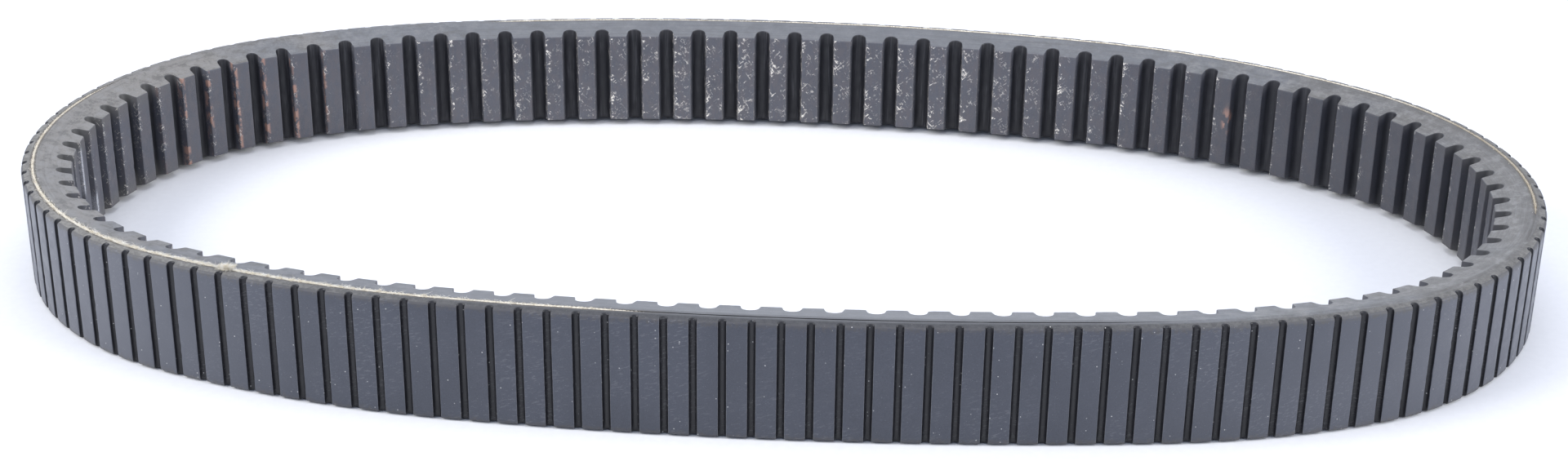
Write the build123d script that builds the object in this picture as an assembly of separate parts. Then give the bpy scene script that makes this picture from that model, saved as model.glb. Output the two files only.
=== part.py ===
from build123d import *
import os
from math import cos, hypot, pi, radians, sin, tan

# A double-cogged, raw-edge V-belt for a variable-speed drive, standing on one edge.
# Millimetres. +Z is up, X runs along the longer way across the loop, and the origin is at the
# middle of the loop at the height of its lower edge. "Offset" is the distance outwards from the
# cord line, "station" the distance along the cord line, and "height" is Z.

# The cord line at rest: circular bends, each tangent to the next, counter-clockwise from the
# lower part of the right-hand end. Two radii are left open, and close_loop finds them.
BENDS = [
    {"name": "right_end", "radius": None, "turn": 120.2},
    {"name": "right_shoulder_back", "radius": 212.6, "turn": 26.15},
    {"name": "back_run", "radius": None, "turn": 22.85},
    {"name": "left_shoulder_back", "radius": 222.7, "turn": 16.55},
    {"name": "left_end", "radius": 99.6, "turn": 129.3},
    {"name": "left_shoulder_front", "radius": 304.5, "turn": 17.1},
    {"name": "front_run", "radius": 933.6, "turn": 12.05},
    {"name": "right_shoulder_front", "radius": 225.8, "turn": 15.8},
]
FIRST_HEADING = 23.8  # degrees from +X

# Cross-section
TOP_WIDTH = 36.5  # across the belt at the cord line, its widest place
OUTER_FACE = 3.5  # offset of the outer face
INNER_FACE = -11.6  # offset of the tips of the inner cogs
GUM_OUTER = 1.0  # offset where the outer gum meets the outer cogs' rubber
GUM_INNER = -1.0  # offset where the inner gum meets the inner cogs' rubber
EDGE_LAND = 0.8  # half-width of the flat ground land at each edge
FLANK_ANGLE = 13.0  # degrees, each V flank from square to the edge
SHOULDER_DROP = 0.6  # how far the outer face is narrower than the land, at each edge

# Tensile cord, wound side by side across the belt
CORD_RADIUS = 0.6
CORD_CLEARANCE = 0.01  # keeps cord and gum from overlapping by rounding
CORD_TURNS = 26  # across the belt, with the two turns that the slicing knife cut open
EDGE_TURN_DEPTH = 0.25  # how far the centre of a cut turn lies inside its edge
EXPOSED_FROM = 92.0  # station where the cut turn of the top edge appears
EXPOSED_TO = 978.0  # station where it has run out
TUFT_STATION = 843.0  # where the filaments of that turn are pulled up into a tuft
TUFT_RADIUS = 1.5
TUFT_HEIGHT = 1.5

# Inner cogs and outer cogs
NOTCH_COUNT = 100
NOTCH_PHASE = 0.1  # station of the first notch
NOTCH_DEPTH = 4.7
NOTCH_FLOOR_RADIUS = 2.4
NOTCH_WALL_ANGLE = 10.0  # degrees, each wall from square to the tips
NOTCH_BEND = 570.0  # radius of the bend in which the notches have that shape; tighter ones close them
SLOT_COUNT = 146
SLOT_PHASE = 2.3  # station of the first slot
SLOT_DEPTH = 1.5
SLOT_WIDTH = 2.25

OVERRUN = 2.0  # how far cutters run past the faces that they open


def chord(start, turn):
    """The step from end to end of a bend of radius one, from its first heading and its turn."""
    end = start + radians(turn)
    return sin(end) - sin(start), cos(start) - cos(end)


def close_loop(bends):
    """Each bend with its heading, start and centre, once the open radii make the loop meet."""
    heading = radians(FIRST_HEADING)
    for bend in bends:
        bend["heading"] = heading
        bend["step"] = chord(heading, bend["turn"])
        heading += radians(bend["turn"])
    known = [bend for bend in bends if bend["radius"]]
    gap_x = -sum(bend["radius"] * bend["step"][0] for bend in known)
    gap_y = -sum(bend["radius"] * bend["step"][1] for bend in known)
    first, second = [bend for bend in bends if not bend["radius"]]
    (ax, ay), (bx, by) = first["step"], second["step"]
    determinant = ax * by - ay * bx
    first["radius"] = (gap_x * by - gap_y * bx) / determinant
    second["radius"] = (ax * gap_y - ay * gap_x) / determinant
    x, y, station = 0.0, 0.0, 0.0
    for bend in bends:
        bend["station"] = station
        bend["length"] = bend["radius"] * radians(bend["turn"])
        bend["x"], bend["y"] = x, y
        x += bend["radius"] * bend["step"][0]
        y += bend["radius"] * bend["step"][1]
        station += bend["length"]
    return bends, station


def bend_at(station):
    """The bend that a station lies in."""
    return [bend for bend in LOOP if bend["station"] <= station][-1]


def place(station, offset=0.0):
    """The point at a station and offset, and the heading of the cord line there."""
    bend = bend_at(station)
    heading = bend["heading"] + (station - bend["station"]) / bend["radius"]
    step_x, step_y = sin(heading) - sin(bend["heading"]), cos(bend["heading"]) - cos(heading)
    x = bend["x"] + bend["radius"] * step_x + offset * sin(heading)
    y = bend["y"] + bend["radius"] * step_y - offset * cos(heading)
    return x, y, heading


def station_heading(degrees):
    """The station where the cord line has turned to a heading, counted in degrees from +X."""
    wanted = radians(degrees)
    bend = [b for b in LOOP if b["heading"] <= wanted][-1]
    return bend["station"] + (wanted - bend["heading"]) * bend["radius"]


def centre_loop():
    """Move the loop so that its outer face's box is centred on the origin."""
    right, back, left, front = [place(station_heading(turned)) for turned in (90, 180, 270, 360)]
    middle_x = (right[0] + left[0]) / 2
    middle_y = (back[1] + front[1]) / 2
    for bend in LOOP:
        bend["x"] -= middle_x
        bend["y"] -= middle_y


def half_width(offset):
    """Half the width of the belt at an offset from the cord line."""
    if offset > EDGE_LAND:
        drop = SHOULDER_DROP * (offset - EDGE_LAND) / (OUTER_FACE - EDGE_LAND)
    elif offset < -EDGE_LAND:
        drop = (-offset - EDGE_LAND) * tan(radians(FLANK_ANGLE))
    else:
        drop = 0.0
    return TOP_WIDTH / 2 - drop


def ply_section(low, high):
    """The cross-section of a ply between two offsets, X being offset and Y being height."""
    offsets = [low] + [o for o in (-EDGE_LAND, EDGE_LAND) if low < o < high] + [high]
    middle = TOP_WIDTH / 2
    bottom = [(offset, middle - half_width(offset)) for offset in offsets]
    top = [(offset, middle + half_width(offset)) for offset in reversed(offsets)]
    return make_face(Polyline(*bottom, *top, close=True))


def cord_heights():
    """The height of every turn of cord, from the bottom edge to the top edge."""
    spacing = (TOP_WIDTH - 2 * EDGE_TURN_DEPTH) / (CORD_TURNS - 1)
    return [EDGE_TURN_DEPTH + spacing * turn for turn in range(CORD_TURNS)]


def turn_section(height):
    """The cross-section of one turn of cord, cut flat where it crosses an edge."""
    face = Pos(0, height) * Circle(CORD_RADIUS - CORD_CLEARANCE)
    return face & Pos(0, TOP_WIDTH / 2) * Rectangle(4 * CORD_RADIUS, TOP_WIDTH)


def swing(section, first=0.0, last=None):
    """A cross-section carried along the cord line from one station to another, as one solid."""
    last = LOOP_LENGTH if last is None else last
    runs = []
    for bend in LOOP:
        low = max(first, bend["station"])
        high = min(last, bend["station"] + bend["length"])
        if high - low < CORD_CLEARANCE:
            continue
        heading = bend["heading"] + (low - bend["station"]) / bend["radius"]
        centre_x = bend["x"] - bend["radius"] * sin(bend["heading"])
        centre_y = bend["y"] + bend["radius"] * cos(bend["heading"])
        x = centre_x + bend["radius"] * sin(heading)
        y = centre_y - bend["radius"] * cos(heading)
        outwards = (sin(heading), -cos(heading), 0)
        backwards = (-cos(heading), -sin(heading), 0)
        start = Plane(origin=(x, y, 0), x_dir=outwards, z_dir=backwards)
        angle = 180 / pi * (high - low) / bend["radius"]
        runs.append(revolve(start * section, Axis((centre_x, centre_y, 0), (0, 0, 1)), angle))
    return runs[0].fuse(*runs[1:])


def at_stations(cutter_for, count, phase):
    """Cutters, whose X is offset and Y is along the belt, evenly round the loop."""
    cutters = {bend["name"]: cutter_for(bend) for bend in LOOP}
    copies = []
    for index in range(count):
        station = phase + index * LOOP_LENGTH / count
        x, y, heading = place(station)
        cutter = cutters[bend_at(station)["name"]]
        copies.append(Pos(x, y, 0) * Rot(0, 0, 180 / pi * heading - 90) * cutter)
    return copies


def through_belt(face):
    """A plan outline run through the whole width of the belt."""
    return Pos(0, 0, -OVERRUN) * extrude(face, TOP_WIDTH + 2 * OVERRUN)


def notch_cutter(bend):
    """One notch between two inner cogs: tapering walls and a full-round floor.

    The cogs keep their size and turn about the cord line, so a tight bend narrows the notch.
    """
    closing = LOOP_LENGTH / NOTCH_COUNT / 2 * (1 / bend["radius"] - 1 / NOTCH_BEND)
    slope = radians(NOTCH_WALL_ANGLE) - closing
    floor = INNER_FACE + NOTCH_DEPTH
    floor_radius = NOTCH_FLOOR_RADIUS + floor * closing
    centre = floor - floor_radius
    wall_y = floor_radius * cos(slope)
    wall_x = centre + floor_radius * sin(slope)
    mouth_x = INNER_FACE - OVERRUN
    mouth_y = wall_y + (wall_x - mouth_x) * tan(slope)
    walls = Polyline((wall_x, wall_y), (mouth_x, mouth_y), (mouth_x, -mouth_y), (wall_x, -wall_y))
    round_floor = ThreePointArc((wall_x, -wall_y), (floor, 0), (wall_x, wall_y))
    return through_belt(make_face([walls, round_floor]))


def slot_cutter(_bend):
    """One slot between two outer cogs: straight walls and a full-round floor, in every bend."""
    radius = SLOT_WIDTH / 2
    floor = OUTER_FACE - SLOT_DEPTH
    mouth = OUTER_FACE + OVERRUN
    spring = floor + radius
    walls = Polyline((spring, radius), (mouth, radius), (mouth, -radius), (spring, -radius))
    round_floor = ThreePointArc((spring, -radius), (floor, 0), (spring, radius))
    return through_belt(make_face([walls, round_floor]))


def inner_cog_rubber():
    """The fibre-filled compression rubber, notched on the inside into cogs."""
    ring = swing(ply_section(INNER_FACE, GUM_INNER))
    return ring.cut(*at_stations(notch_cutter, NOTCH_COUNT, NOTCH_PHASE))


def outer_cog_rubber():
    """The rubber over the cords, slotted on the outside into low cogs."""
    ring = swing(ply_section(GUM_OUTER, OUTER_FACE))
    return ring.cut(*at_stations(slot_cutter, SLOT_COUNT, SLOT_PHASE))


def gum(low, high):
    """One of the two gum plies that grip the cords, grooved to half the depth of each turn."""
    section = ply_section(low, high)
    grooves = [Pos(0, height) * Circle(CORD_RADIUS) for height in cord_heights()]
    return swing(section - grooves)


def cord_winding(first_turn):
    """Every second inner turn of cord, from the given turn on."""
    heights = cord_heights()[first_turn:-1:2]
    return Compound([swing(turn_section(height)) for height in heights])


def bottom_edge_cord():
    """The turn that the slicing knife cut open along the bottom edge."""
    return swing(turn_section(cord_heights()[0]))


def top_edge_cord():
    """The turn cut open along the top edge, as far as it shows, with its frayed tuft."""
    strand = swing(turn_section(cord_heights()[-1]), EXPOSED_FROM, EXPOSED_TO)
    x, y, _ = place(TUFT_STATION)
    tuft = Pos(x, y, TOP_WIDTH) * Cone(
        TUFT_RADIUS, TUFT_RADIUS / 3, TUFT_HEIGHT, align=(Align.CENTER, Align.CENTER, Align.MIN)
    )
    return strand.fuse(tuft)


LOOP, LOOP_LENGTH = close_loop(BENDS)
centre_loop()

NODES = {
    "outer_cog_rubber": outer_cog_rubber,
    "outer_cushion_gum": lambda: gum(0.0, GUM_OUTER),
    "cord_s_twist": lambda: cord_winding(1),
    "cord_z_twist": lambda: cord_winding(2),
    "top_edge_cord": top_edge_cord,
    "bottom_edge_cord": bottom_edge_cord,
    "inner_cushion_gum": lambda: gum(GUM_INNER, 0.0),
    "inner_cog_rubber": inner_cog_rubber,
}

os.makedirs("parts", exist_ok=True)
for node, build in NODES.items():
    shape = build()
    export_step(shape, f"parts/{node}.step")
    print(node, "volume", round(shape.volume), "faces", len(shape.faces()))
print("cord line", round(LOOP_LENGTH, 1), "outside", round(LOOP_LENGTH + 2 * pi * OUTER_FACE, 1))
for bend in LOOP:
    print(bend["name"], "radius", round(bend["radius"], 1), "length", round(bend["length"], 1))
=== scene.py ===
"""The looks of a double-cogged, raw-edge V-belt that stands on one edge.

Belt coordinates are in millimetres, as in the CAD model: "station" runs along the cord line,
"offset" outwards from it, and "height" across the belt. place() turns them into metres.
"""

import math

import bpy
import numpy as np
from mathutils import Matrix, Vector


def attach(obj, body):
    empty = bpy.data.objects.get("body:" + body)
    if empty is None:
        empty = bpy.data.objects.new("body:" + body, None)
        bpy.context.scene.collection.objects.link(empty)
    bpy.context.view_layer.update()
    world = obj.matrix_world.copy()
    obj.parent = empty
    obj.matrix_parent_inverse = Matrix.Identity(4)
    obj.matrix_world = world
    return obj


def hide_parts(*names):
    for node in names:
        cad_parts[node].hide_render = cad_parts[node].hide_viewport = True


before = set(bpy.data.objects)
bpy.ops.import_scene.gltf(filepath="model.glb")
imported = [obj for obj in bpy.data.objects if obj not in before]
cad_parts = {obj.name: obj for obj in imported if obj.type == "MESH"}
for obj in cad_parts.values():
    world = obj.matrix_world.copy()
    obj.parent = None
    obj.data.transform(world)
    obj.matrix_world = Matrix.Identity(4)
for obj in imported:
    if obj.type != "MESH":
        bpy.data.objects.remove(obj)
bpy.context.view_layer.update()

# ---- The belt's plan and section, the same values as in the CAD model ----

# radius (None is worked out so that the loop meets) and turn in degrees, counter-clockwise
BENDS = [
    (None, 120.2),
    (212.6, 26.15),
    (None, 22.85),
    (222.7, 16.55),
    (99.6, 129.3),
    (304.5, 17.1),
    (933.6, 12.05),
    (225.8, 15.8),
]
FIRST_HEADING = 23.8
TOP_WIDTH = 36.5
OUTER_FACE = 3.5
INNER_FACE = -11.6
GUM_FACE = 1.0
EDGE_LAND = 0.8
FLANK_SLOPE = math.tan(math.radians(13))
SHOULDER_SLOPE = 0.6 / (OUTER_FACE - EDGE_LAND)
CORD_RADIUS = 0.6
CORD_TURNS = 26
EDGE_TURN_DEPTH = 0.25
EXPOSED_FROM = 92.0
EXPOSED_TO = 978.0
TUFT_STATION = 843.0
TUFT_HEIGHT = 1.5
NOTCH = {"count": 100, "phase": 0.1, "depth": 4.7, "floor_radius": 2.4, "wall_angle": 10.0}
NOTCH_BEND = 570.0  # radius of the bend in which the notches have that shape; tighter ones close them
SLOT = {"count": 146, "phase": 2.3, "depth": 1.5, "floor_radius": 1.125, "wall_angle": 0.0}

# ---- Details that only the looks have ----

NOTCH_EDGE_RADIUS = 0.4
SLOT_EDGE_RADIUS = 0.17
FLANK_EDGE_RADIUS = {"outer": 0.8, "inner": 0.35}
SQUARE_CORNER = math.radians(55)  # corners that turn by more than this are not rounded

# How uneven the cogs are: the wavelength and the depth of each kind
CHIP_LENGTH, CHIP_DEPTH = 2.2, 0.07
WANDER_LENGTH, WANDER_DEPTH = 14, 0.015
SQUEEZE_LENGTH, SQUEEZE_DEPTH = 9, 0.02

# The groove over the top edge's cord
CLOSING_FROM = 945.0
COVERED = (505.0, 530.0, 650.0, 680.0)  # rubber hides the cord: it closes, stays shut, and opens again
NEAR_SEAM = (900.0, 985.0, 1080.0, 1125.0)  # a dark line comes in, stays, and dies away
# how far each kind of groove reaches into a gum ply from the cord line, and how deep it is
CLOSED_GROOVE = (0.03, 0.04)
SEAM_GROOVE = (0.28, 0.45)
OPEN_GROOVE = (0.44, 0.85)
BOTTOM_GROOVE = (0.55, 0.85)
GUM_COLUMNS = 420

# The edge turns' yarn, and the filaments that stand off it
PLIES = 3
PLY_RADIUS = 0.26
PLY_ORBIT = 0.21
LAY_LENGTH = 3.2
STEPS_PER_LAY = 8
FRAYED_START = 3.1  # length of the pieces into which the first stretch is broken
BROKEN = (425.0, 35.0)  # middle and reach of a stretch where the yarn lies lower
FUZZ_COUNT = 6800
WILD_SHARE = 0.72  # the part of the fuzz that is long and stands near the tuft
WILD_FUZZ = (832.0, 46.0)  # its middle and spread
CALM_FUZZ_TO = 960.0
TUFT_COUNT = 640
TUFT_REACH = 2.4
HAIR_RINGS = 5
HAIR_SIDES = 3

# Marks of use on the inner cogs, by station. Flecks thicken, stay thick, and thin out again.
CREAM_FLECKS = (225.0, 360.0, 450.0, 600.0)
RUSTY_FLECKS = (572.0, 590.0, 635.0, 660.0)
RUSTY_SPOT = (249.0, 19.0)  # station and height
# the marked corner of every cog: its place as a share of the pitch, and its reach
TORN_CORNER = (0.75, 0.13)
RUSTY_CORNER = (0.77, 0.13)
# the offsets between which the marks die away
TORN_FADE = (INNER_FACE + 1.2, INNER_FACE + 4.4)
RUSTY_FADE = (INNER_FACE + 0.8, INNER_FACE + 3.2)
# corners rubbed glossy and painted with a highlight: station, lowest and highest point
GLINT_CORNERS = [(709.2, 15.0, 33.0), (697.6, 3.0, 13.0)]

# ---- Camera ----

CAMERA_PLACE = (0.0598, -0.7108, 0.3311)
CAMERA_YAW, CAMERA_PITCH, CAMERA_ROLL = 4.587, 24.358, 0.755  # degrees
CAMERA_LENS = 56.06


# ---- Belt coordinates ----


def close_loop():
    """The start of every bend, as arrays, and the length of the cord line."""
    turns = np.radians([turn for _, turn in BENDS])
    heading = math.radians(FIRST_HEADING) + np.concatenate([[0], np.cumsum(turns)[:-1]])
    ending = heading + turns
    steps = np.array([np.sin(ending) - np.sin(heading), np.cos(heading) - np.cos(ending)])
    radius = np.array([given or 0.0 for given, _ in BENDS])
    unknown = [index for index, (given, _) in enumerate(BENDS) if given is None]
    radius[unknown] = np.linalg.solve(steps[:, unknown], -steps @ radius)
    length = radius * turns
    x, y = np.cumsum(radius * steps, axis=1) - radius * steps
    station = np.cumsum(length) - length
    loop = {"heading": heading, "radius": radius, "station": station, "x": x, "y": y}
    return loop, length.sum()


def bend_at(station):
    """The index of the bend that each station lies in."""
    return np.searchsorted(LOOP["station"], station, side="right") - 1


def place(station, offset, height):
    """Points in metres, from arrays of belt coordinates."""
    station = np.mod(station, LOOP_LENGTH)
    bend = bend_at(station)
    start, radius = LOOP["heading"][bend], LOOP["radius"][bend]
    heading = start + (station - LOOP["station"][bend]) / radius
    x = LOOP["x"][bend] + radius * (np.sin(heading) - np.sin(start)) + offset * np.sin(heading)
    y = LOOP["y"][bend] + radius * (np.cos(start) - np.cos(heading)) - offset * np.cos(heading)
    return np.stack(np.broadcast_arrays(x, y, height), axis=-1) / 1000


def centre_loop():
    """Put the origin at the middle of the loop's box, as in the CAD model."""
    stations = np.linspace(0, LOOP_LENGTH, 20000)
    points = place(stations, 0.0, 0.0) * 1000
    middle = (points.max(axis=0) + points.min(axis=0)) / 2
    LOOP["x"] -= middle[0]
    LOOP["y"] -= middle[1]


def half_width(offset):
    """Half the width of the belt at an offset from the cord line."""
    shoulder = np.maximum(offset - EDGE_LAND, 0) * SHOULDER_SLOPE
    flank = np.maximum(-EDGE_LAND - offset, 0) * FLANK_SLOPE
    return TOP_WIDTH / 2 - shoulder - flank


LOOP, LOOP_LENGTH = close_loop()
centre_loop()


def ripple(station, height, wavelength, seed):
    """Smooth noise over the belt, mostly between -1 and 1, that meets itself after one turn."""
    draw = np.random.default_rng(seed)
    waves = 10
    total = 0.0
    for _ in range(waves):
        cycles = round(LOOP_LENGTH / wavelength * draw.uniform(0.5, 1.4))
        along = 2 * math.pi * cycles / LOOP_LENGTH
        across = 2 * math.pi / wavelength * draw.uniform(-1, 1)
        total = total + np.sin(along * station + across * height + draw.uniform(0, 2 * math.pi))
    return total / math.sqrt(waves)


def bump_at(value, middle, reach):
    """A soft hump, 1 at the middle and near 0 past its reach."""
    return np.exp(-(((value - middle) / reach) ** 2) * 2)


def fade(value, low, high):
    """A smooth step from 0 at low to 1 at high."""
    share = np.clip((value - low) / (high - low), 0, 1)
    return share * share * (3 - 2 * share)


def spell(station, stages):
    """Rises from 0 to 1 over the first two of four stations, and falls over the last two."""
    return fade(station, *stages[:2]) * (1 - fade(station, *stages[2:]))


# ---- Meshes ----


def grid_faces(columns, rows, joined):
    """The quads of a grid whose rows go all the way round, and whose columns do if joined."""
    column = np.arange(columns if joined else columns - 1)[:, None]
    row = np.arange(rows)[None, :]
    after, above = (column + 1) % columns, (row + 1) % rows
    corners = (column * rows + row, after * rows + row, after * rows + above, column * rows + above)
    return np.stack(corners, axis=-1).reshape(-1, 4)


def outwards(faces, offset, height):
    """The faces of a swept section, turned over if its rows run clockwise."""
    area = (offset * np.roll(height, -1) - np.roll(offset, -1) * height).sum()
    return faces if area > 0 else faces[:, ::-1]


def add_piece(name, points, faces, materials, slot, stands_for, **attributes):
    """A smooth mesh object that rides with the belt, with named values on its points."""
    mesh = bpy.data.meshes.new(name)
    mesh.from_pydata(points.reshape(-1, 3).tolist(), [], [list(map(int, face)) for face in faces])
    for label, values in attributes.items():
        layer = mesh.attributes.new(label, "FLOAT", "POINT")
        spread = np.broadcast_to(values, points.shape[:-1])
        layer.data.foreach_set("value", spread.astype(np.float32).ravel())
    for material in materials:
        mesh.materials.append(material)
    mesh.shade_smooth()
    piece = bpy.data.objects.new(name, mesh)
    bpy.context.collection.objects.link(piece)
    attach(piece, "root")
    if stands_for:
        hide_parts(*stands_for)
    return piece


def keep_flats_flat(piece):
    """Shade large faces flat right up to their rounded edges, and keep square corners square."""
    piece.data.set_sharp_from_angle(angle=SQUARE_CORNER)
    weighted = piece.modifiers.new("flat_faces", "WEIGHTED_NORMAL")
    weighted.weight = 80
    weighted.keep_sharp = True


# ---- Cogs, inside and outside ----


def groove_profile(groove, closing, edge_radius, floor_steps, edge_steps):
    """Across one groove: distance from its middle, depth, and how much wear and painted edge highlight
    each point gets.

    Closing is the angle in radians by which a tight bend turns each wall inwards.
    """
    slope = math.radians(groove["wall_angle"]) - closing
    floor_radius = groove["floor_radius"] + (INNER_FACE + groove["depth"]) * closing
    centre = groove["depth"] - floor_radius
    turned = np.linspace(0, math.pi / 2 - slope, floor_steps + 1)
    floor = [(floor_radius * math.sin(a), centre + floor_radius * math.cos(a), 0.0) for a in turned]
    mouth = floor[-1][0] + floor[-1][1] * math.tan(slope)
    along = edge_radius * math.tan((math.pi / 2 - slope) / 2)
    turned = np.linspace(slope, math.pi / 2, edge_steps + 1)
    wear_and_glint = 1 - 0.5 * np.abs(np.linspace(-1, 1, edge_steps + 1))
    edge = [
        (mouth + along - edge_radius * math.cos(a), edge_radius - edge_radius * math.sin(a), w)
        for a, w in zip(turned, wear_and_glint)
    ]
    half = np.array(floor + edge)
    other = half[:0:-1] * (-1, 1, 1)
    return np.concatenate([other, half])


def slot_profiles():
    """The profile of a slot between outer cogs, the same in every bend."""
    profile = groove_profile(SLOT, 0.0, edge_radius=SLOT_EDGE_RADIUS, floor_steps=4, edge_steps=2)
    return np.array([profile] * len(BENDS))


def notch_profiles():
    """The profile of a notch between inner cogs in each bend. The cogs turn about the cord line."""
    closing = LOOP_LENGTH / NOTCH["count"] / 2 * (1 / LOOP["radius"] - 1 / NOTCH_BEND)
    shape = {"edge_radius": NOTCH_EDGE_RADIUS, "floor_steps": 5, "edge_steps": 2}
    return np.array([groove_profile(NOTCH, angle, **shape) for angle in closing])


def cog_columns(groove, profiles, face, inwards, flat_columns):
    """Station, offset and wear of every column along a cogged ply, groove by groove."""
    centres = groove["phase"] + np.arange(groove["count"]) * LOOP_LENGTH / groove["count"]
    bend = bend_at(centres)
    across, depth, wear_and_glint = np.moveaxis(profiles[bend], -1, 0)
    offset = face + inwards * depth
    station = centres[:, None] + across / (1 + offset / LOOP["radius"][bend][:, None])
    following = np.roll(station[:, :1], -1, axis=0)
    following[-1] += LOOP_LENGTH
    shares = np.arange(1, flat_columns + 1) / (flat_columns + 1)
    flats = station[:, -1:] + (following - station[:, -1:]) * shares
    station = np.concatenate([station, flats], axis=1)
    offset = np.concatenate([offset, np.full_like(flats, face)], axis=1)
    wear_and_glint = np.concatenate([wear_and_glint, 0 * flats], axis=1)
    return station.ravel(), offset.ravel(), wear_and_glint.ravel()


def cog_rows(offset, base, edge_radius, slope, flank_rows, face_rows):
    """The upper half of each column's section, from the ply's base to the middle of its face.

    Gives offsets, distances from mid-height, and each row's wear, which also places a painted edge
    highlight.
    """
    offset = offset[:, None]
    side = np.sign(offset - base)
    edge = np.minimum(edge_radius, 0.4 * np.abs(offset - base))
    angle = math.atan(slope)
    corner = half_width(offset) - edge * math.tan((math.pi / 2 - angle) / 2)
    turned = np.linspace(math.pi / 2 - angle, 0, 3)
    arc_offset = offset - side * edge * (1 - np.cos(turned))
    arc_rise = corner + edge * np.sin(turned)
    shares = np.arange(flank_rows) / flank_rows
    flank_offset = base + (arc_offset[:, :1] - base) * shares
    base_rise = half_width(np.array(base))
    flank_rise = base_rise + (arc_rise[:, :1] - base_rise) * shares
    shares = 1 - np.arange(1, face_rows + 1) / face_rows
    face_offset = offset + 0 * shares
    face_rise = corner * shares
    offsets = np.concatenate([flank_offset, arc_offset, face_offset], axis=1)
    rises = np.concatenate([flank_rise, arc_rise, face_rise], axis=1)
    wear_and_glint = np.array([0] * flank_rows + [0.5, 1, 0.5] + [0] * face_rows)
    return offsets, rises, wear_and_glint


def cogged_ply(groove, profiles, face, base, edge_radius, slope, rows, flat_columns, rim_wear, seed):
    """A whole cogged ply on a grid: station, offset, height, depth in a groove and wear (also a painted
    edge highlight), by point.

    Rows tells how many the flank and each half of the face have. The last thing given is which rows
    of faces are ground, the others being moulded.
    """
    inwards = np.sign(base - face)
    station, offset, column_wear = cog_columns(groove, profiles, face, inwards, flat_columns)
    depth = np.abs(offset - face)[:, None]
    offsets, rises, row_wear = cog_rows(offset, base, edge_radius, slope, *rows)
    middle = TOP_WIDTH / 2
    # bottom half from the base, then the top half back to it; the mid-height row is shared
    offset = np.concatenate([offsets, offsets[:, -2::-1]], axis=1)
    height = np.concatenate([middle - rises, middle + rises[:, -2::-1]], axis=1)
    row_wear = np.concatenate([row_wear, row_wear[-2::-1]])
    station = np.broadcast_to(station[:, None], offset.shape)
    on_face = np.arange(offset.shape[1])
    on_face = (on_face >= rows[0]) & (on_face < offset.shape[1] - rows[0])
    wear_and_glint = np.maximum(column_wear[:, None] * on_face, rim_wear * row_wear[None, :])
    # edges are chipped here and there, and faces wander a little
    chips = np.maximum(ripple(station, height, CHIP_LENGTH, seed), 0) ** 2 * CHIP_DEPTH * wear_and_glint
    wander = np.maximum(1 + ripple(station, height, WANDER_LENGTH, seed + 1), 0) * WANDER_DEPTH
    offset = offset + inwards * (chips + wander) * (on_face & (np.abs(offset - base) > 0.3))
    squeeze = (1 + ripple(station, 0, SQUEEZE_LENGTH, seed + 2)) * SQUEEZE_DEPTH
    squeeze = squeeze * fade(np.abs(offset - base), 0, 1)
    height = height + np.sign(middle - height) * np.maximum(squeeze, 0) * ~on_face
    ground = np.append(~(on_face & np.roll(on_face, -1))[:-1], True)
    return station, offset, height, depth, wear_and_glint, ground


def add_cogged_piece(name, ply, materials, slot, node, **attributes):
    """The mesh object of a cogged ply, moulded on its face and ground on its flanks."""
    station, offset, height, depth, wear_and_glint, ground = ply
    columns, rows = offset.shape
    faces = outwards(grid_faces(columns, rows, True), offset[0], height[0])
    values = {"offset": offset, "depth": depth, "wear_and_glint": wear_and_glint, **attributes}
    points = place(station, offset, height)
    piece = add_piece(name, points, faces, materials, slot, [node], **values)
    piece.data.polygons.foreach_set("material_index", np.tile(ground, columns).astype(np.int32))
    keep_flats_flat(piece)
    return piece


def add_outer_cogs():
    """The rubber over the cords, with its low cogs."""
    ply = cogged_ply(
        SLOT,
        slot_profiles(),
        face=OUTER_FACE,
        base=GUM_FACE,
        edge_radius=FLANK_EDGE_RADIUS["outer"],
        slope=SHOULDER_SLOPE,
        rows=(4, 11),
        flat_columns=3,
        rim_wear=0.2,
        seed=11,
    )
    materials = [outer_rubber(), ground_rubber()]
    return add_cogged_piece("outer_cogs", ply, materials, "outer_rubber", "outer_cog_rubber")


def scuffs(station, offset, height):
    """Where the inner cogs are torn, rusty, and glossy with a painted highlight, each from 0 to 1."""
    share = np.mod((station - NOTCH["phase"]) / LOOP_LENGTH * NOTCH["count"], 1)
    torn_corner = bump_at(share, *TORN_CORNER)
    torn = (0.3 + 0.7 * spell(station, CREAM_FLECKS)) * (0.26 + 0.84 * torn_corner)
    torn = torn * (1 - fade(offset, *TORN_FADE))
    spot = bump_at(station, RUSTY_SPOT[0], 2.2) * bump_at(height, RUSTY_SPOT[1], 6)
    rusty = np.maximum(spell(station, RUSTY_FLECKS) * bump_at(share, *RUSTY_CORNER), spot)
    rusty = rusty * (1 - fade(offset, *RUSTY_FADE))
    gloss_and_glint = 0 * station
    for corner, low, high in GLINT_CORNERS:
        run = fade(height, low, low + 3) * (1 - fade(height, high - 3, high))
        gloss_and_glint = np.maximum(gloss_and_glint, bump_at(station, corner, 0.8) * run)
    return {"torn": torn, "rusty": rusty, "gloss_and_glint": gloss_and_glint}


def add_inner_cogs():
    """The compression rubber, with its deep cogs and the marks of use on them."""
    ply = cogged_ply(
        NOTCH,
        notch_profiles(),
        face=INNER_FACE,
        base=-GUM_FACE,
        edge_radius=FLANK_EDGE_RADIUS["inner"],
        slope=FLANK_SLOPE,
        rows=(7, 10),
        flat_columns=4,
        rim_wear=0.5,
        seed=23,
    )
    materials = [inner_rubber(), ground_rubber()]
    marks = {**scuffs(*ply[:3]), "seam": seam(ply[0])}
    return add_cogged_piece("inner_cogs", ply, materials, "inner_rubber", "inner_cog_rubber", **marks)


# ---- Gum plies and the cord's edge turns ----


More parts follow.
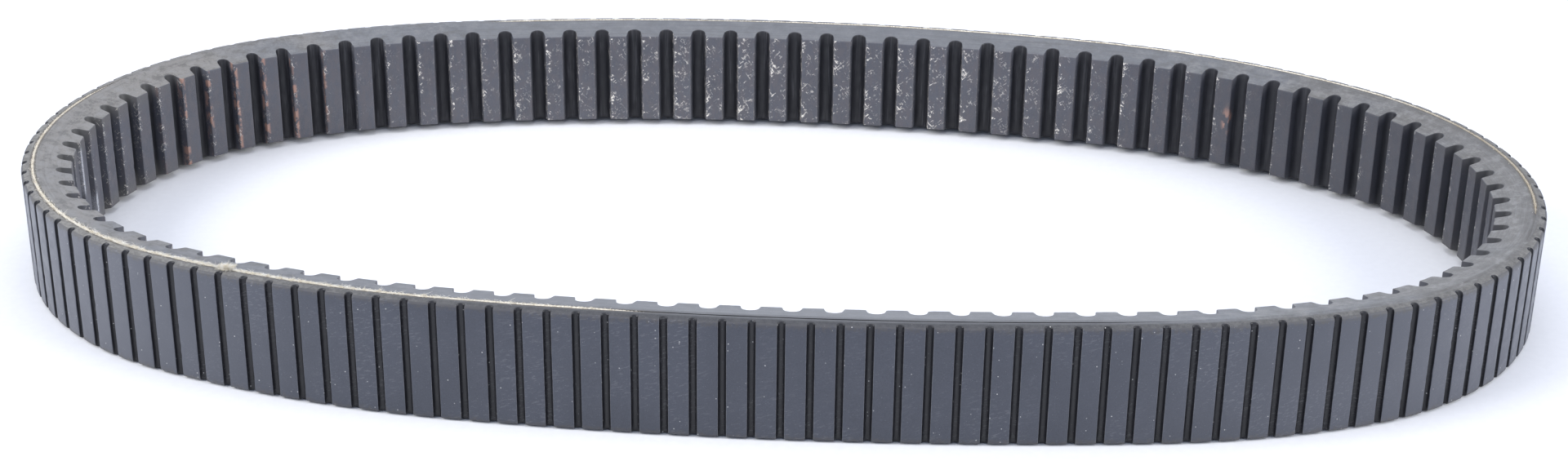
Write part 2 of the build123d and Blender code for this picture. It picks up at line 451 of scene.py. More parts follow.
def exposure(station):
    """How open the top edge is over its cord: 1 where the cord shows, 0 where it is closed."""
    shown = spell(station, (EXPOSED_FROM - 3, EXPOSED_FROM + 6, CLOSING_FROM, EXPOSED_TO))
    return shown * (1 - 0.9 * spell(station, COVERED))


def seam(station):
    """Where the closed groove shows as a dark line: 1 along the near run, 0 round the ends."""
    return spell(station, NEAR_SEAM)


def top_groove(station, side):
    """The top edge's groove at each station: how far it reaches into a gum ply, and its depth."""
    open_share = exposure(station)[:, None]
    line_share = seam(station)[:, None] * (1 - open_share)
    reach, depth = (
        closed + (line - closed) * line_share + (opened - closed) * open_share
        for closed, line, opened in zip(CLOSED_GROOVE, SEAM_GROOVE, OPEN_GROOVE)
    )
    rough = 1 + 0.12 * ripple(station, 0, 3, 31 + side)[:, None]
    return reach * rough, depth


def cord_seats():
    """Offsets and heights of the half-round seats for the turns between the two edge turns."""
    spacing = (TOP_WIDTH - 2 * EDGE_TURN_DEPTH) / (CORD_TURNS - 1)
    turns = EDGE_TURN_DEPTH + np.arange(1, CORD_TURNS - 1)[::-1] * spacing
    half_round = np.linspace(0, math.pi, 5)
    offset = np.tile(CORD_RADIUS * np.sin(half_round), len(turns))
    return offset, (turns[:, None] + CORD_RADIUS * np.cos(half_round)).ravel()


def gum_rows(station, side):
    """A gum ply's section at each station: offsets and heights, all the way round."""
    one = np.ones((len(station), 1))
    turned = np.linspace(math.pi / 2, 0, 5)
    width, depth = top_groove(station, side)
    bottom_width, bottom_depth = (one * value for value in BOTTOM_GROOVE)
    edge_height = TOP_WIDTH / 2 - half_width(np.array(GUM_FACE))
    seats_offset, seats_height = cord_seats()
    offsets = [
        bottom_width * np.cos(turned),
        one * [EDGE_LAND, GUM_FACE, GUM_FACE, EDGE_LAND],
        width * np.cos(turned[::-1]),
        one * seats_offset,
    ]
    heights = [
        bottom_depth * np.sin(turned),
        one * [0, edge_height, TOP_WIDTH - edge_height, TOP_WIDTH],
        TOP_WIDTH - depth * np.sin(turned[::-1]),
        one * seats_height,
    ]
    return side * np.concatenate(offsets, axis=1), np.concatenate(heights, axis=1)


def add_gum(name, side, node):
    """One of the two gum plies that grip the cords."""
    station = np.arange(GUM_COLUMNS) * LOOP_LENGTH / GUM_COLUMNS
    offset, height = gum_rows(station, side)
    faces = outwards(grid_faces(*offset.shape, True), offset[0], height[0])
    points = place(station[:, None], offset, height)
    values = {"offset": offset, "opened": exposure(station)[:, None], "seam": seam(station)[:, None]}
    piece = add_piece(name, points, faces, [gum_rubber()], "gum", [node], **values)
    keep_flats_flat(piece)
    return piece


def tube(station, offset, height, radius, sides):
    """The points and faces of a closed tube along a line of belt coordinates."""
    turned = np.arange(sides) * 2 * math.pi / sides
    around_offset = offset[:, None] + radius[:, None] * np.cos(turned)
    around_height = height[:, None] + radius[:, None] * np.sin(turned)
    faces = grid_faces(len(station), sides, False).tolist()
    last = (len(station) - 1) * sides
    caps = [list(range(sides)), list(range(last + sides - 1, last - 1, -1))]
    return station[:, None] + 0 * turned, around_offset, around_height, faces + caps


def merge(tubes):
    """Several tubes as one set of belt coordinates and faces."""
    faces, count = [], 0
    for station, _, _, tube_faces in tubes:
        faces += [[count + corner for corner in face] for face in tube_faces]
        count += station.size
    station, offset, height = (np.concatenate([t[i].ravel() for t in tubes]) for i in range(3))
    return station, offset, height, faces


def twisted_yarn(first, last, height, top, bottom, seed):
    """Three plies twisted together along the belt, shaved flat where they cross an edge."""
    steps = int((last - first) / LAY_LENGTH * STEPS_PER_LAY)
    station = np.linspace(first, last, steps)
    tubes = []
    for ply in range(PLIES):
        turned = 2 * math.pi * (station / LAY_LENGTH + ply / PLIES)
        wander = ripple(station, 10 * ply, 6, seed + ply)
        start, end = fade(station, first - 0.5, first + 3), fade(station, last - 3, last + 0.5)
        ends = np.minimum(start, 1 - end)
        radius = PLY_RADIUS * (1 + 0.14 * wander) * (0.25 + 0.75 * ends)
        centre = PLY_ORBIT * np.cos(turned) + 0.04 * wander
        rise = height + PLY_ORBIT * np.sin(turned)
        tubes.append(tube(station, centre, rise, radius, 6))
    station, offset, height, faces = merge(tubes)
    return station, offset, np.clip(height, bottom, top), faces


def sunk(station):
    """How deep the top edge's turn lies below where it was cut open, in millimetres."""
    start = 1 - fade(station, EXPOSED_FROM, EXPOSED_FROM + 12)
    start = start * (1 + 3 * np.maximum(np.sin(2 * math.pi * station / FRAYED_START), 0))
    end = fade(station, CLOSING_FROM, EXPOSED_TO)
    broken = bump_at(station, *BROKEN)
    return 0.12 * start + 0.62 * end + 0.18 * broken + 0.55 * spell(station, COVERED)


def add_top_yarn():
    """The cord's turn that shows along the top edge."""
    station, offset, height, faces = twisted_yarn(
        EXPOSED_FROM,
        EXPOSED_TO,
        height=TOP_WIDTH - 0.2,
        top=TOP_WIDTH + 0.16,
        bottom=TOP_WIDTH - 2,
        seed=41,
    )
    height = height - sunk(station)
    points = place(station, offset, height)
    return add_piece("top_edge_yarn", points, faces, [cord_yarn()], "frayed_cord", ["top_edge_cord"])


def add_bottom_yarn():
    """The cord's turn that shows along the bottom edge, whose ends meet."""
    station, offset, height, faces = twisted_yarn(
        0, LOOP_LENGTH, height=EDGE_TURN_DEPTH + 0.1, top=2.0, bottom=0.03, seed=51
    )
    points = place(station, offset, height)
    return add_piece("bottom_edge_yarn", points, faces, [cord_yarn()], "cord", ["bottom_edge_cord"])


def hairs(root, tip, bend, radius):
    """Thin three-sided filaments in belt coordinates, from roots over a bend to tips."""
    steps = np.linspace(0, 1, HAIR_RINGS)[None, :, None]
    line = root[:, None] * (1 - steps) + tip[:, None] * steps + bend[:, None] * steps * (1 - steps) * 4
    thick = radius[:, None, None] * (1 - 0.75 * steps)
    turned = np.arange(HAIR_SIDES) * 2 * math.pi / HAIR_SIDES
    across = np.stack([0 * turned, np.cos(turned), np.sin(turned)], axis=-1)
    leaning = np.stack([np.cos(turned), 0 * turned, np.sin(turned)], axis=-1)
    along = np.abs(tip - root)
    frame_of = np.where((along[:, 0] > along[:, 1])[:, None, None], across, leaning)
    points = line[:, :, None] + thick[..., None] * frame_of[:, None]
    one = grid_faces(HAIR_RINGS, HAIR_SIDES, False)
    hair_points = HAIR_RINGS * HAIR_SIDES
    first_points = np.arange(len(root)) * hair_points
    faces = (one[None] + first_points[:, None, None]).reshape(-1, 4)
    caps = first_points[:, None] + np.arange(hair_points - HAIR_SIDES, hair_points)
    return points.reshape(-1, 3), faces.tolist() + caps.tolist()


def add_fuzz():
    """Broken filaments that stand off the exposed turn, thickest near the tuft."""
    draw = np.random.default_rng(61)
    count = FUZZ_COUNT
    wild = draw.uniform(size=count) < WILD_SHARE
    wild_station = draw.normal(*WILD_FUZZ, count)
    station = np.where(wild, wild_station, draw.uniform(EXPOSED_FROM, CALM_FUZZ_TO, count))
    station = np.clip(station, EXPOSED_FROM + 1, EXPOSED_TO - 6)
    offset = draw.normal(0, 0.3, count)
    root = np.stack([station, offset, TOP_WIDTH - 0.1 - sunk(station)], axis=-1)
    # filaments come up in clumps
    clump = 0.35 + np.maximum(0.6 + 0.6 * ripple(station, 0, 5, 63), 0)
    length = draw.uniform(0.3, 1.0, count) * np.where(wild, clump, 0.45)
    angle = draw.uniform(0, 2 * math.pi, count)
    lift = draw.uniform(0.05, 0.95, count)
    step = np.stack([2.0 * np.cos(angle), 0.8 * np.sin(angle), lift], axis=-1)
    tip = root + length[:, None] * step
    bend = draw.normal(0, 0.12, (count, 3)) + (0, 0, 0.1)
    radius = draw.uniform(0.035, 0.07, count)
    points, faces = hairs(root, tip, bend, radius)
    points = place(*points.T)
    return add_piece("cord_fuzz", points, faces, [loose_filament()], "frayed_cord", None)


def add_tuft():
    """The place where filaments of the exposed turn have been pulled up."""
    draw = np.random.default_rng(71)
    count = TUFT_COUNT
    spread = draw.normal(0, 0.7, count)
    offset = draw.normal(0, 0.3, count)
    root = np.stack([TUFT_STATION + spread, offset, np.full(count, TOP_WIDTH - 0.1)], axis=-1)
    lean = draw.normal(0, 1.15, (count, 2))
    rise = draw.uniform(0.45, TUFT_HEIGHT - 0.15, count)
    tip = root + np.column_stack([spread * 1.2 + lean[:, 0], lean[:, 1], rise])
    tip[:, 0] = np.clip(tip[:, 0], TUFT_STATION - TUFT_REACH, TUFT_STATION + TUFT_REACH)
    tip[:, 2] = np.minimum(tip[:, 2], TOP_WIDTH + TUFT_HEIGHT - 0.15)
    bend = draw.normal(0, 0.14, (count, 3))
    points, faces = hairs(root, tip, bend, draw.uniform(0.055, 0.1, count))
    points[:, 2] = np.minimum(points[:, 2], TOP_WIDTH + TUFT_HEIGHT - 0.01)
    points = place(*points.T)
    return add_piece("cord_tuft", points, faces, [loose_filament()], "frayed_cord", None)


# ---- Materials ----

COLOURS = {  # in linear light
    # the moulded outer face
    "outer_face": (0.046, 0.051, 0.067),
    # painted shade deep in the slots
    "slot_shade": (0.013, 0.013, 0.016),
    # lighter edges: wear and a painted highlight
    "outer_edge_wear_and_glint": (0.17, 0.175, 0.19),
    # dust and a painted sheen on the lands at the loop's ends
    "outer_dust_and_sheen": (0.108, 0.113, 0.132),
    "rim": (0.074, 0.071, 0.072),
    "dusty_rim": (0.125, 0.120, 0.112),
    "dust_speck": (0.55, 0.54, 0.52),
    "fine_speck": (0.3, 0.31, 0.33),
    "scratch": (0.3, 0.3, 0.31),
    # the moulded inner face
    "inner_face": (0.074, 0.077, 0.092),
    # painted shade deep in the notches, over the fresh black rubber of their floors
    "notch_shade_and_black": (0.021, 0.021, 0.025),
    # lighter edges: wear and a painted highlight
    "inner_edge_wear_and_glint": (0.14, 0.145, 0.16),
    "inner_streak": (0.090, 0.090, 0.098),
    # painted light on the notch walls at the ends of the loop
    "notch_wall_light": (0.120, 0.117, 0.110),
    "tip_stain": (0.106, 0.096, 0.104),
    # a darker tone for the cogs on the right
    "darker_right_cogs": (0.036, 0.037, 0.044),
    "torn_fibre": (0.80, 0.75, 0.67),
    "rust": (0.42, 0.24, 0.18),
    # a painted highlight on a few corners
    "painted_glint": (0.55, 0.56, 0.60),
    # the ground edges
    "flank": (0.140, 0.148, 0.164),
    "lighter_flank": (0.165, 0.173, 0.188),
    "left_end": (0.250, 0.232, 0.207),
    "right_end": (0.146, 0.133, 0.112),
    "dark_stain": (0.088, 0.082, 0.070),
    "pale_stain": (0.29, 0.285, 0.27),
    "rubbed": (0.066, 0.058, 0.048),
    # painted shade beside the cord on the near run
    "seam_shade_band": (0.052, 0.053, 0.060),
    "dark_smear": (0.092, 0.088, 0.084),
    "pale_smear": (0.26, 0.262, 0.265),
    "grinding_line": (0.25, 0.25, 0.247),
    "dark_grain": (0.06, 0.058, 0.056),
    "short_fibre": (0.4, 0.38, 0.35),
    "shoulder": (0.046, 0.047, 0.052),
    "lighter_shoulder": (0.074, 0.074, 0.077),
    "pale_shoulder": (0.130, 0.125, 0.114),
    "palest_shoulder": (0.265, 0.257, 0.238),
    # the gum, cords, loose filaments and floor
    "gum_stain": (0.105, 0.090, 0.066),
    # painted shade inside the narrow seam groove
    "seam_groove_shade": (0.012, 0.012, 0.013),
    "groove_inside": (0.085, 0.070, 0.048),
    "shaded_yarn": (0.52, 0.44, 0.31),
    "yarn": (0.92, 0.87, 0.75),
    "soaked_yarn": (0.38, 0.31, 0.21),
    "dirty_yarn": (0.26, 0.21, 0.14),
    "shaded_filament": (0.80, 0.73, 0.58),
    "filament": (0.95, 0.92, 0.84),
    "shaded_paper": (0.86, 0.865, 0.88),
    "paper": (0.88, 0.885, 0.90),
}
USUAL_ROUGHNESS = 0.6


def paint(name, factor=1.0):
    """A named colour, made darker or lighter by a factor, as a colour socket holds it."""
    return (*(factor * part for part in COLOURS[name]), 1.0)


class Nodes:
    """Short names for the nodes that the materials use. Positions are in millimetres."""

    def __init__(self, name):
        self.material = bpy.data.materials.new(name)
        self.material.use_nodes = True
        self.tree = self.material.node_tree
        self.shader = self.tree.nodes["Principled BSDF"]
        self.shader.inputs["Roughness"].default_value = USUAL_ROUGHNESS
        coordinates = self.tree.nodes.new("ShaderNodeTexCoord")
        self.position = self.stretch(coordinates.outputs["Object"], (1000, 1000, 1000))

    def node(self, kind, inputs, **settings):
        """A new node. Each input, by name or number, is linked to a socket or set to a value."""
        made = self.tree.nodes.new(kind)
        for name, value in settings.items():
            setattr(made, name, value)
        for name, value in inputs.items():
            if isinstance(value, bpy.types.NodeSocket):
                self.tree.links.new(value, made.inputs[name])
            else:
                made.inputs[name].default_value = value
        return made

    def stretch(self, vector, factors):
        made = self.node("ShaderNodeVectorMath", {0: vector, 1: factors}, operation="MULTIPLY")
        return made.outputs[0]

    def shift(self, vector, by):
        return self.node("ShaderNodeVectorMath", {0: vector, 1: by}, operation="ADD").outputs[0]

    def turn(self, vector, degrees):
        """The vector turned about the Y axis."""
        inputs = {"Vector": vector, "Axis": (0, 1, 0), "Angle": math.radians(degrees)}
        return self.node("ShaderNodeVectorRotate", inputs).outputs[0]

    def along_belt(self, offset, along, across):
        """A texture vector whose pattern is drawn out along the belt, with cycles per millimetre."""
        lifted = self.node("ShaderNodeCombineXYZ", {2: self.times(offset, across)}).outputs[0]
        return self.shift(self.stretch(self.position, (along, along, 0.0)), lifted)

    def axis(self, index):
        return self.node("ShaderNodeSeparateXYZ", {0: self.position}).outputs[index]

    def size(self, value):
        return self.calculate("ABSOLUTE", value, 0.0)

    def from_middle(self):
        """The distance up or down from the middle of the belt's width."""
        return self.size(self.calculate("SUBTRACT", self.axis(2), TOP_WIDTH / 2))

    def attribute(self, name):
        return self.node("ShaderNodeAttribute", {}, attribute_name=name).outputs["Fac"]

    def calculate(self, operation, a, b):
        return self.node("ShaderNodeMath", {0: a, 1: b}, operation=operation).outputs[0]

    def plus(self, a, b):
        return self.calculate("ADD", a, b)

    def times(self, a, b):
        return self.calculate("MULTIPLY", a, b)

    def larger(self, a, b):
        return self.calculate("MAXIMUM", a, b)

    def noise(self, vector, scale, detail=3.0, roughness=0.55):
        inputs = {"Vector": vector, "Scale": scale, "Detail": detail, "Roughness": roughness}
        return self.node("ShaderNodeTexNoise", inputs).outputs["Fac"]

    def cells(self, vector, scale):
        """The distance to the nearest of scattered points, and a random value for that point."""
        made = self.node("ShaderNodeTexVoronoi", {"Vector": vector, "Scale": scale})
        parts = self.node("ShaderNodeSeparateColor", {0: made.outputs["Color"]})
        return made.outputs["Distance"], parts.outputs[0]

    def remap(self, value, low, high, to_low=0.0, to_high=1.0):
        """The value carried smoothly from one range to another, and held at its ends."""
        inputs = {"Value": value, "From Min": low, "From Max": high, "To Min": to_low, "To Max": to_high}
        return self.node("ShaderNodeMapRange", inputs, interpolation_type="SMOOTHSTEP").outputs[0]

    def mix(self, share, first, second):
        """A blend of two colours, each a socket, a socket's value or the name of a colour."""
        first, second = (paint(value) if isinstance(value, str) else value for value in (first, second))
        return self.node("ShaderNodeMix", {0: share, 6: first, 7: second}, data_type="RGBA").outputs[2]

    def coat(self, colour, over, mask, strength):
        """A colour with another laid over it where the mask is 1."""
        return self.mix(self.times(mask, strength), colour, over)

    def specks(self, vector, scale, share, size):
        """Small scattered marks: 1 inside a mark. Share is the part of the points that have one."""
        distance, random = self.cells(vector, scale)
        chosen = self.remap(random, 1 - share, 1 - share * 0.5)
        near = self.remap(distance, size, size * 0.6)
        return self.times(chosen, near)

    def strokes(self, degrees):
        """Short straight strokes at an angle to the belt's edge: 1 on a stroke."""
        drawn_out = self.stretch(self.turn(self.position, degrees), (0.45, 2.2, 2.2))
        return self.remap(self.noise(drawn_out, 1.0, 3, 0.6), 0.56, 0.64)

    def bump(self, height, distance, strength):
        """A relief whose highest part stands a distance in millimetres over its lowest."""
        inputs = {"Height": height, "Distance": distance / 1000, "Strength": strength}
        return self.node("ShaderNodeBump", inputs).outputs[0]

    def finish(self, colour, roughness, normal):
        """The material, once its shader's inputs are linked."""
        self.tree.links.new(colour, self.shader.inputs["Base Color"])
        self.tree.links.new(roughness, self.shader.inputs["Roughness"])
        self.tree.links.new(normal, self.shader.inputs["Normal"])
        return self.material


def moulded(nodes, face, groove, edge, deep_from, deep_to):
    """A moulded face's colour, with painted shade deep in its grooves and its edges lighter with wear
    and a painted highlight, and two noises.
    """
    broad = nodes.noise(nodes.position, 0.035, 4)
    grain = nodes.noise(nodes.position, 2.2, 4, 0.7)
    mottled = nodes.mix(nodes.remap(broad, 0.3, 0.7), paint(face, 0.86), paint(face, 1.12))
    mottled = nodes.mix(nodes.remap(grain, 0.25, 0.8, 0, 0.55), mottled, paint(face, 1.5))
    # painted shade: deep in the slots and notches the colour goes dark, and the notch floors' fresh
    # black rubber adds to it
    groove_shade = nodes.remap(nodes.attribute("depth"), deep_from, deep_to)
    shaded_in_grooves = nodes.mix(groove_shade, mottled, groove)
    ragged = nodes.remap(nodes.noise(nodes.position, 1.1, 3, 0.7), 0.35, 0.62)
    # the rounded edges are lighter: partly wear, partly a painted highlight
    wear_and_glint = nodes.remap(nodes.attribute("wear_and_glint"), 0.55, 0.95)
    wear_and_glint = nodes.times(wear_and_glint, nodes.remap(ragged, 0, 1, 0.25, 0.8))
    return nodes.mix(wear_and_glint, shaded_in_grooves, edge), grain, broad


def outer_rubber():
    """The moulded outer face: smooth and blue-grey, dusty towards the belt's edges."""
    nodes = Nodes("outer_rubber")
    colour, grain, broad = moulded(nodes, "outer_face", "slot_shade", "outer_edge_wear_and_glint", 0.03, 0.3)
    on_land = nodes.remap(nodes.attribute("depth"), 0.3, 0.05)
    # the ends of the loop are dustier, the left-hand one most, and their lands carry a painted sheen
    along = nodes.axis(0)
    dust_and_sheen = nodes.larger(nodes.remap(along, -100, -210), nodes.remap(along, 60, 235, 0, 0.7))
    rim_colour = nodes.mix(dust_and_sheen, "rim", "dusty_rim")
    # painted sheen with dust: the lands lighten towards the ends
    colour = nodes.mix(nodes.times(dust_and_sheen, on_land), colour, "outer_dust_and_sheen")
    blotches = nodes.remap(nodes.noise(nodes.position, 0.9, 3, 0.7), 0.3, 0.7, -0.9, 0.9)
    rim = nodes.remap(nodes.plus(nodes.from_middle(), blotches), 15.9, 17.9)
    rim = nodes.times(rim, on_land)
    colour = nodes.coat(colour, rim_colour, rim, 0.8)
    dust = nodes.specks(nodes.shift(nodes.position, (7, 3, 1)), 0.6, 0.22, 0.13)
    colour = nodes.coat(colour, "dust_speck", dust, 0.8)
    colour = nodes.coat(colour, "fine_speck", nodes.specks(nodes.position, 1.8, 0.22, 0.2), 0.35)
    scratches = nodes.times(nodes.strokes(15), nodes.remap(broad, 0.4, 0.6))
    colour = nodes.coat(colour, "scratch", scratches, 0.16)
    satin = nodes.remap(nodes.noise(nodes.position, 0.3, 3), 0.3, 0.7, 0.34, 0.46)
    roughness = nodes.plus(satin, nodes.times(rim, 0.25))
    relief = nodes.plus(grain, nodes.times(broad, 0.5))
    return nodes.finish(colour, roughness, nodes.bump(relief, 0.04, 0.5))


def inner_rubber():
    """The moulded inner face, with torn fibres, rusty specks and a few corners glossy with a painted
    highlight.
    """
    nodes = Nodes("inner_rubber")
    colour, grain, _ = moulded(nodes, "inner_face", "notch_shade_and_black", "inner_edge_wear_and_glint", 1.9, 3.7)
    streaks = nodes.noise(nodes.stretch(nodes.position, (1.3, 1.3, 0.06)), 1.0, 3, 0.7)
    colour = nodes.mix(nodes.remap(streaks, 0.52, 0.68, 0.0, 0.55), colour, "inner_streak")
    # painted light on the upper part of the notch walls at the ends of the loop, where the open notches
    # catch it
    at_end = nodes.remap(nodes.size(nodes.axis(0)), 198, 222)
    lit_walls = nodes.times(at_end, nodes.remap(nodes.from_middle(), 9, 16))
    colour = nodes.coat(colour, "notch_wall_light", lit_walls, 0.8)
    on_tip = nodes.remap(nodes.attribute("depth"), 1.9, 0.6)
    blotches = nodes.noise(nodes.stretch(nodes.position, (1, 1, 0.5)), 0.45, 4, 0.75)
    stained = nodes.times(nodes.remap(blotches, 0.42, 0.6), on_tip)
    colour = nodes.coat(colour, "tip_stain", stained, 0.55)
    # the cogs are darker towards the right
    colour = nodes.coat(colour, "darker_right_cogs", nodes.remap(nodes.axis(0), 90, 190), 0.5)
    swirl = nodes.node("ShaderNodeTexNoise", {"Vector": nodes.position, "Scale": 0.9, "Detail": 2.0})
    warped = nodes.shift(nodes.position, nodes.stretch(swirl.outputs["Color"], (1.6, 1.6, 2.2)))
    patches = nodes.remap(nodes.noise(nodes.position, 0.32, 3, 0.7), 0.47, 0.57)
    fibres = nodes.larger(nodes.strokes(40), nodes.strokes(-55))
    flecks = nodes.larger(nodes.specks(warped, 0.7, 0.4, 0.34), fibres)
    torn = nodes.times(nodes.times(flecks, patches), nodes.attribute("torn"))
    colour = nodes.mix(nodes.remap(torn, 0.04, 0.5), colour, "torn_fibre")
    rusty = nodes.specks(nodes.stretch(nodes.shift(warped, (3, 5, 2)), (1, 1, 0.6)), 0.48, 0.95, 0.62)
    rusty = nodes.times(rusty, nodes.remap(nodes.attribute("rusty"), 0.05, 0.7))
    colour = nodes.coat(colour, "rust", rusty, 0.8)
    # painted highlight: a pale glint on a few corners, which are glossier too
    gloss_and_glint = nodes.times(nodes.attribute("gloss_and_glint"), nodes.remap(grain, 0.3, 0.55))
    colour = nodes.mix(gloss_and_glint, colour, "painted_glint")
    satin = nodes.remap(nodes.noise(nodes.position, 0.3, 3), 0.3, 0.7, 0.42, 0.58)
    roughness = nodes.plus(satin, nodes.times(gloss_and_glint, -0.3))
    relief = nodes.plus(grain, nodes.times(torn, 1.5))
    return nodes.finish(colour, roughness, nodes.bump(relief, 0.06, 0.6))


def aged(nodes, colour, offset, broad):
    """A ground edge's colour with the loop's two ends, its stains, its dark places and a band of painted
    shade.
    """
    # the left-hand end of the loop has gone pale and a little olive, the right-hand end browner
    along = nodes.plus(nodes.axis(0), nodes.remap(broad, 0.3, 0.7, -30, 30))
    colour = nodes.mix(nodes.remap(along, -140, -215), colour, "left_end")
    colour = nodes.mix(nodes.remap(along, 130, 220, 0.0, 0.8), colour, "right_end")
    # stains are strongest at the ends
    stains = nodes.noise(nodes.position, 0.2, 6, 0.8)
    strength = nodes.remap(nodes.size(along), 60, 200, 0.3, 1.0)
    colour = nodes.coat(colour, "dark_stain", nodes.remap(stains, 0.40, 0.5, 0.7, 0.0), strength)
    colour = nodes.coat(colour, "pale_stain", nodes.remap(stains, 0.5, 0.6, 0.0, 0.6), strength)
    # rubbed dark round the right-hand end, near the cord line
    blotches = nodes.noise(nodes.stretch(nodes.position, (1, 1, 0)), 0.13, 5, 0.7)
    rubbed = nodes.times(nodes.remap(along, 120, 200), nodes.remap(offset, -5.5, -0.5))
    rubbed = nodes.times(rubbed, nodes.remap(blotches, 0.45, 0.56))
    colour = nodes.coat(colour, "rubbed", rubbed, 0.6)
    # painted shade: the near run has a dark band beside the cord
    painted_seam_shade = nodes.times(nodes.remap(offset, -2.8, -1.8), nodes.attribute("seam"))
    return nodes.coat(colour, "seam_shade_band", painted_seam_shade, 0.72)


def shoulder_colour(nodes):
    """The edge outside the cord: dark and mottled, paler towards the ends of the loop."""
    mottled = nodes.remap(nodes.noise(nodes.position, 0.7, 4, 0.75), 0.3, 0.7)
    dark = nodes.mix(mottled, "shoulder", "lighter_shoulder")
    pale = nodes.mix(mottled, "pale_shoulder", "palest_shoulder")
    along = nodes.axis(0)
    at_end = nodes.larger(nodes.remap(along, -30, -215), nodes.remap(along, 50, 240, 0.0, 0.7))
    return nodes.mix(at_end, dark, pale)


def ground(nodes):
    """Cut and ground rubber's colour, roughness and relief, with lines along the belt."""
    offset = nodes.attribute("offset")
    lines = nodes.noise(nodes.along_belt(offset, 0.12, 5.0), 1.0, 5, 0.65)
    smears = nodes.noise(nodes.along_belt(offset, 0.03, 0.8), 1.0, 4, 0.7)
    broad = nodes.noise(nodes.position, 0.05, 3)
    grain = nodes.noise(nodes.position, 3.0, 3, 0.7)
    colour = nodes.mix(nodes.remap(broad, 0.35, 0.65), "flank", "lighter_flank")
    colour = aged(nodes, colour, offset, broad)
    colour = nodes.mix(nodes.remap(smears, 0.28, 0.5, 0.5, 0.0), colour, "dark_smear")
    colour = nodes.mix(nodes.remap(smears, 0.52, 0.74, 0.0, 0.45), colour, "pale_smear")
    colour = nodes.mix(nodes.remap(lines, 0.3, 0.7, 0.0, 0.4), colour, "grinding_line")
    colour = nodes.mix(nodes.remap(grain, 0.3, 0.75, 0.35, 0.0), colour, "dark_grain")
    shoulder = nodes.remap(offset, 0.4, 1.5)
    colour = nodes.coat(colour, shoulder_colour(nodes), shoulder, 0.95)
    roughness = nodes.remap(grain, 0.3, 0.7, 0.46, 0.62)
    roughness = nodes.plus(roughness, nodes.times(shoulder, 0.2))
    relief = nodes.plus(lines, nodes.times(grain, 0.6))
    return colour, roughness, relief


def ground_rubber():
    """The cut and ground edges of the cogs, with short fibres showing."""
    nodes = Nodes("ground_rubber")
    colour, roughness, relief = ground(nodes)
    colour = nodes.coat(colour, "short_fibre", nodes.specks(nodes.position, 1.5, 0.25, 0.2), 0.3)
    return nodes.finish(colour, roughness, nodes.bump(relief, 0.06, 0.7))


def gum_rubber():
    """The gum that grips the cords: stained beside them, dark inside the opened grooves, and painted
    with shade inside the seam groove.
    """
    nodes = Nodes("gum_rubber")
    colour, roughness, relief = ground(nodes)
    opened, seam_share = nodes.attribute("opened"), nodes.attribute("seam")
    stain = nodes.remap(nodes.noise(nodes.position, 1.1, 4, 0.7), 0.35, 0.65, 0.25, 0.85)
    colour = nodes.coat(colour, "gum_stain", stain, opened)
    # inside the grooves: the opened ones take a dark gum colour, and the seam groove is painted near
    # black as shade
    inside = nodes.remap(nodes.from_middle(), TOP_WIDTH / 2 - 0.02, TOP_WIDTH / 2 - 0.17)
    walls = nodes.mix(opened, "seam_groove_shade", "groove_inside")
    colour = nodes.coat(colour, walls, inside, nodes.larger(opened, seam_share))
    return nodes.finish(colour, roughness, nodes.bump(relief, 0.05, 0.7))


def cord_yarn():
    """Cream yarn, with darker gum soaked between its filaments."""
    nodes = Nodes("cord_yarn")
    strands = nodes.noise(nodes.stretch(nodes.position, (1, 1, 2.5)), 2.5, 3, 0.7)
    clumps = nodes.noise(nodes.position, 0.7, 3, 0.75)
    colour = nodes.mix(nodes.remap(strands, 0.3, 0.62), "shaded_yarn", "yarn")
    colour = nodes.mix(nodes.remap(clumps, 0.38, 0.52, 0.6, 0.0), colour, "soaked_yarn")
    # it is dirtier where it goes round the ends
    along = nodes.axis(0)
    left, right = nodes.remap(along, -205, -228, 0.0, 0.3), nodes.remap(along, 190, 225, 0.0, 0.7)
    dirty = nodes.larger(left, right)
    colour = nodes.mix(dirty, colour, "dirty_yarn")
    roughness = nodes.remap(strands, 0.3, 0.7, 0.6, 0.85)
    return nodes.finish(colour, roughness, nodes.bump(strands, 0.08, 0.8))


def loose_filament():
    """Cleaner, brighter filaments that stand clear of the gum."""
    nodes = Nodes("loose_filament")
    broad = nodes.noise(nodes.position, 0.8, 2)
    colour = nodes.mix(nodes.remap(broad, 0.35, 0.65), "shaded_filament", "filament")
    roughness = nodes.remap(broad, 0.3, 0.7, 0.5, 0.7)
    return nodes.finish(colour, roughness, nodes.bump(broad, 0.02, 0.3))


def paper():
    """The plain pale floor."""
    nodes = Nodes("paper")
    fibres = nodes.noise(nodes.position, 0.4, 4)
    colour = nodes.mix(nodes.remap(fibres, 0.3, 0.7), "shaded_paper", "paper")
    roughness = nodes.remap(fibres, 0.3, 0.7, 0.75, 0.85)
    return nodes.finish(colour, roughness, nodes.bump(fibres, 0.02, 0.2))


# ---- Stage, light and camera ----

FLOOR_REACH = 4.0  # in metres
SKY = (0.64, 0.74, 1.0, 1.0)
SKY_STRENGTH = 0.66
WARMEST = (1.0, 0.98, 0.95)
WARM = (1.0, 0.985, 0.955)
COOL = (0.93, 0.96, 1.0)


def add_floor():
    """A pale floor just under the belt's lower edge."""
    mesh = bpy.data.meshes.new("floor")
    corners = [(FLOOR_REACH * x, FLOOR_REACH * y, 0) for x, y in ((-1, -1), (1, -1), (1, 1), (-1, 1))]
    mesh.from_pydata(corners, [], [(0, 1, 2, 3)])
    mesh.materials.append(paper())
    floor = bpy.data.objects.new("floor", mesh)
    bpy.context.collection.objects.link(floor)


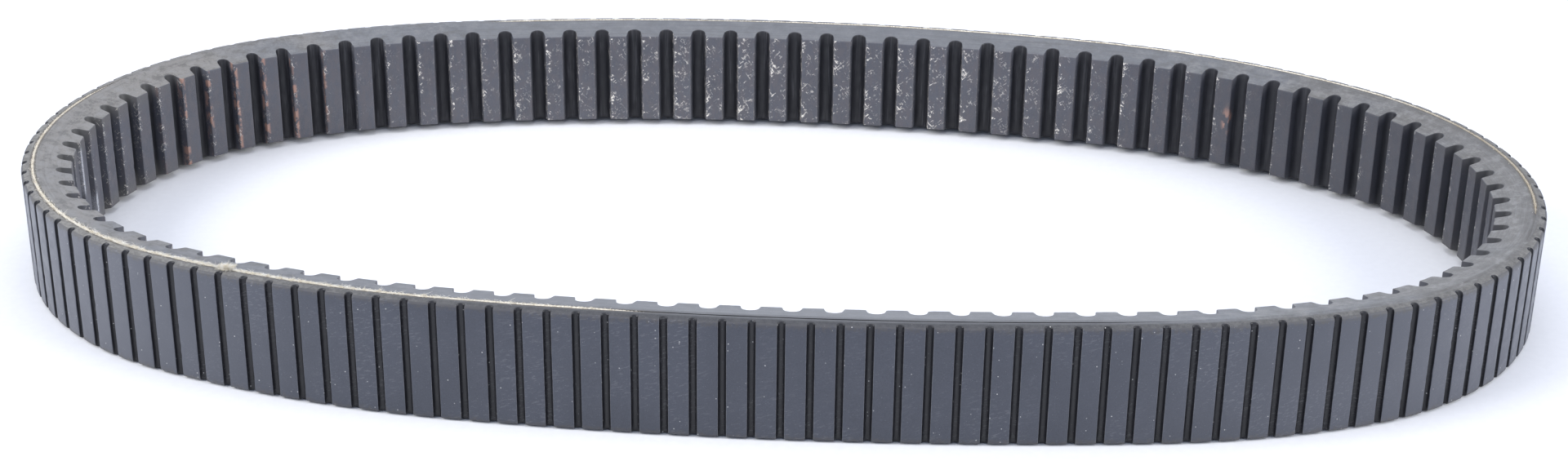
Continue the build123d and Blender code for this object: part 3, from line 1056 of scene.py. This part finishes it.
def add_softbox(name, place_at, look_at, size, watts, colour):
    """A square area light aimed at a point. Places and size are in metres."""
    data = bpy.data.lights.new(name, "AREA")
    data.shape = "SQUARE"
    data.size = size
    data.energy = watts
    data.color = colour
    lamp = bpy.data.objects.new(name, data)
    aim = np.array(look_at) - np.array(place_at)
    lamp.location = place_at
    lamp.rotation_mode = "QUATERNION"
    lamp.rotation_quaternion = Vector(aim).to_track_quat("-Z", "Y")
    bpy.context.collection.objects.link(lamp)


def add_light():
    """Soft light from all round: a pale blue sky and four nearly white softboxes."""
    world = bpy.data.worlds.new("studio")
    world.use_nodes = True
    background = world.node_tree.nodes["Background"]
    background.inputs["Color"].default_value = SKY
    background.inputs["Strength"].default_value = SKY_STRENGTH
    bpy.context.scene.world = world
    add_softbox("overhead", (0.0, -0.1, 1.5), (0, 0, 0), size=1.3, watts=9, colour=WARMEST)
    add_softbox("left", (-1.3, -0.6, 0.95), (-0.1, 0, 0), size=0.9, watts=21.5, colour=WARM)
    add_softbox("right", (1.5, -0.35, 0.7), (0.1, 0, 0), size=0.9, watts=18, colour=WARM)
    add_softbox("back", (0.0, 1.7, 0.45), (0, 0, 0.1), size=1.2, watts=7.5, colour=COOL)


def add_camera():
    """The camera, level but for a slight roll, looking down over the near side of the belt."""
    data = bpy.data.cameras.new("camera")
    data.lens = CAMERA_LENS
    data.clip_start, data.clip_end = 0.01, 20
    camera = bpy.data.objects.new("camera", data)
    yaw = Matrix.Rotation(math.radians(CAMERA_YAW), 4, "Z")
    pitch = Matrix.Rotation(math.radians(90 - CAMERA_PITCH), 4, "X")
    roll = Matrix.Rotation(math.radians(CAMERA_ROLL), 4, "Z")
    camera.matrix_world = Matrix.Translation(CAMERA_PLACE) @ yaw @ pitch @ roll
    bpy.context.collection.objects.link(camera)
    bpy.context.scene.camera = camera


def dress_hidden_cords():
    """The same yarn on the two tensile cords inside the belt, which keep their CAD shape."""
    for node in ("cord_s_twist", "cord_z_twist"):
        for material_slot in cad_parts[node].material_slots:
            material_slot.material = cord_yarn()


add_camera()
add_light()
add_floor()
bpy.context.scene.view_settings.view_transform = "Standard"

add_outer_cogs()
add_inner_cogs()
add_gum("outer_gum", 1, "outer_cushion_gum")
add_gum("inner_gum", -1, "inner_cushion_gum")
add_top_yarn()
add_bottom_yarn()
add_fuzz()
add_tuft()

dress_hidden_cords()
